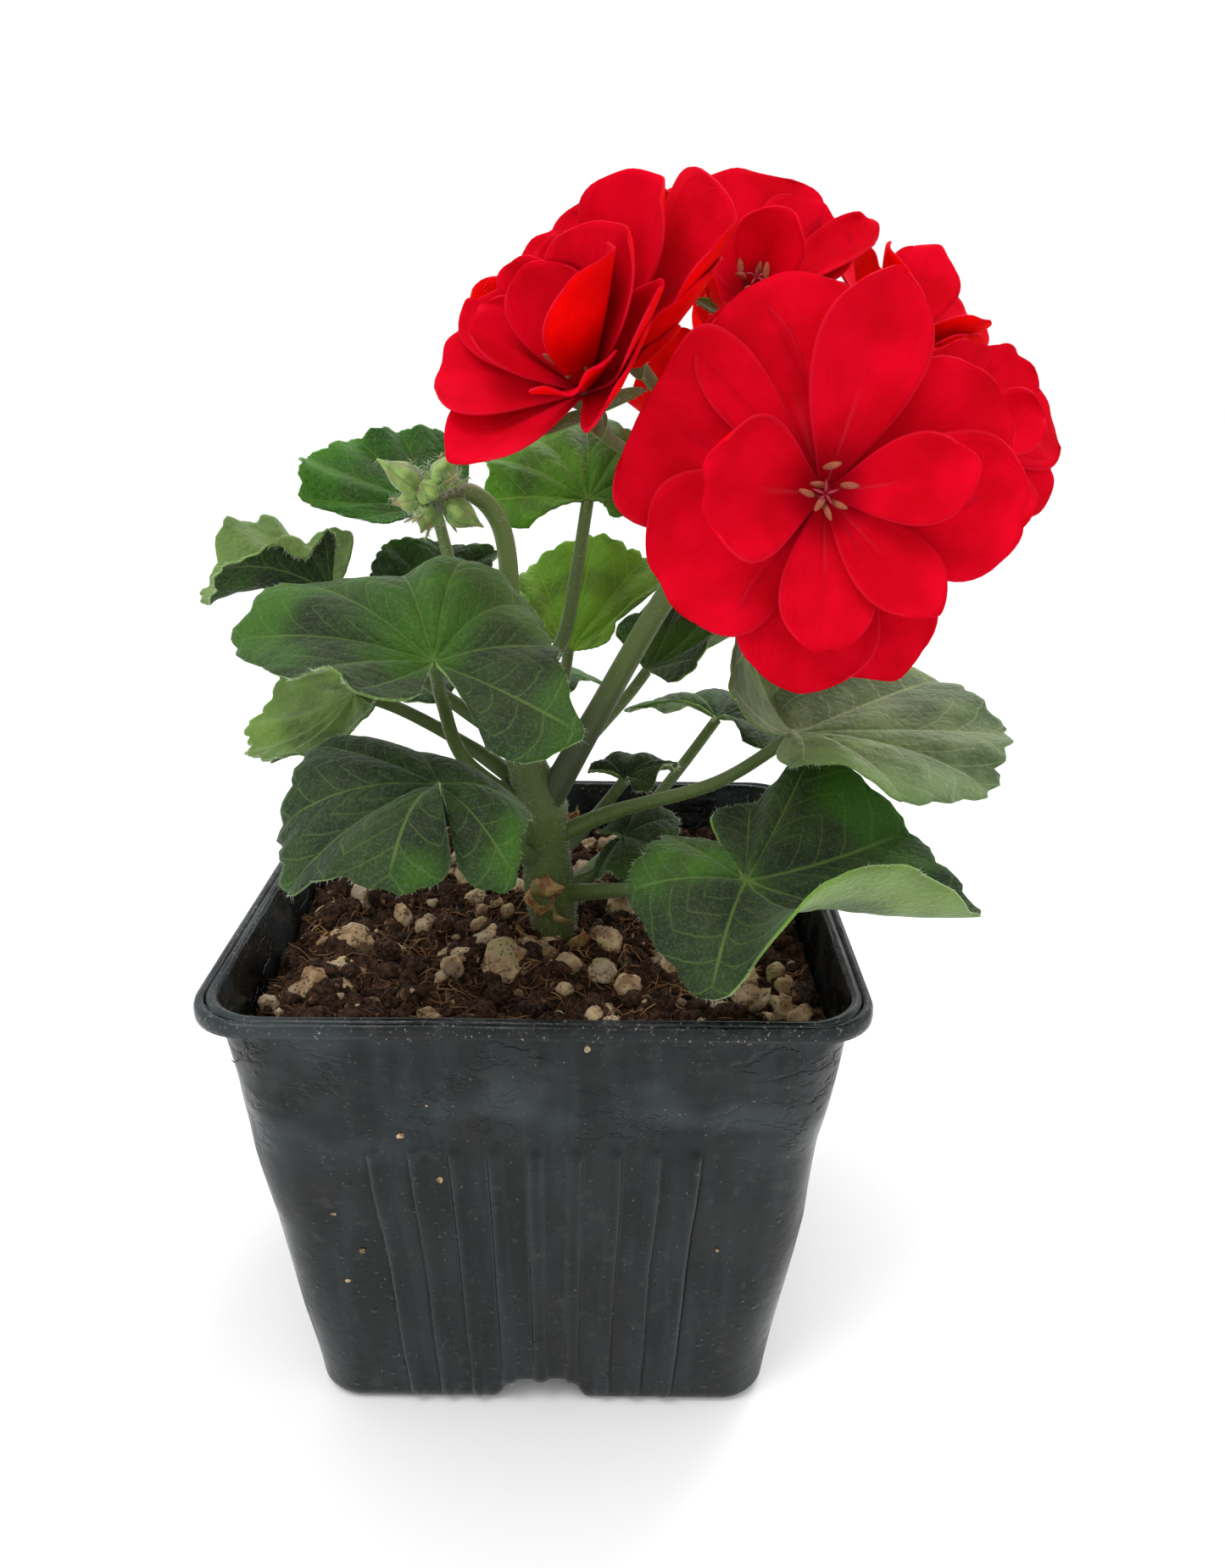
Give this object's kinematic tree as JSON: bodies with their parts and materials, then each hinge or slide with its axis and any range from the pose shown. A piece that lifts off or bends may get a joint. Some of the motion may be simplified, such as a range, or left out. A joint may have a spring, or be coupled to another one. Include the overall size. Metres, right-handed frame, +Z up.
{
  "type": "potted zonal geranium",
  "caption": "Young bedding geranium with round lobed leaves, an open red flower head and a head in bud, in a square black nursery pot filled with peat and pumice.",
  "frame": {"origin": "middle of the pot's flat underside", "axes": "+Z up along the plant's height, -Y towards the front, where the big front floret faces, +X to the right seen from the front"},
  "size_m": [0.1451, 0.1158, 0.2058],
  "materials": {
    "pot_plastic": "black thermoformed plastic, satin gloss, faint wrinkles and dust",
    "peat": "dark brown fibrous peat with beige pumice grains",
    "stem_green": "green stem with short pale hairs",
    "leaf_green": "velvety green blade with a faint dark zone, paler and veined underneath",
    "petal_red": "saturated red, soft sheen, fine radial veins",
    "anther_brown": "orange-brown anthers on dark red filaments"
  },
  "bodies": {
    "root": {"pot": "pot_plastic", "soil": "peat", "stem": "stem_green", "flower_stalk": "stem_green", "bud_head": "stem_green", "leaf_left_front": "leaf_green", "leaf_front_low": "leaf_green", "leaf_right_low": "leaf_green", "leaf_right_high": "leaf_green", "leaf_centre_top": "leaf_green", "leaf_back_left": "leaf_green", "leaf_left_back": "leaf_green", "leaf_left_low": "leaf_green", "leaf_behind_buds": "leaf_green", "leaf_young_back": "leaf_green", "leaf_back_right": "leaf_green", "leaf_small_dark": "leaf_green", "leaf_small_front": "leaf_green", "leaf_rear_left": "leaf_green", "leaf_rear_right": "leaf_green", "floret_front": "petal_red", "floret_left": "petal_red", "floret_upper_left": "petal_red", "floret_top": "petal_red", "floret_upper_right": "petal_red", "floret_right": "petal_red", "floret_rear_left": "petal_red", "floret_rear": "petal_red", "floret_opening": "petal_red", "stamens_front": "anther_brown", "stamens_left": "anther_brown", "stamens_upper_left": "anther_brown", "stamens_top": "anther_brown", "stamens_upper_right": "anther_brown", "stamens_right": "anther_brown", "stamens_rear_left": "anther_brown", "stamens_rear": "anther_brown"}
  },
  "joints": []
}
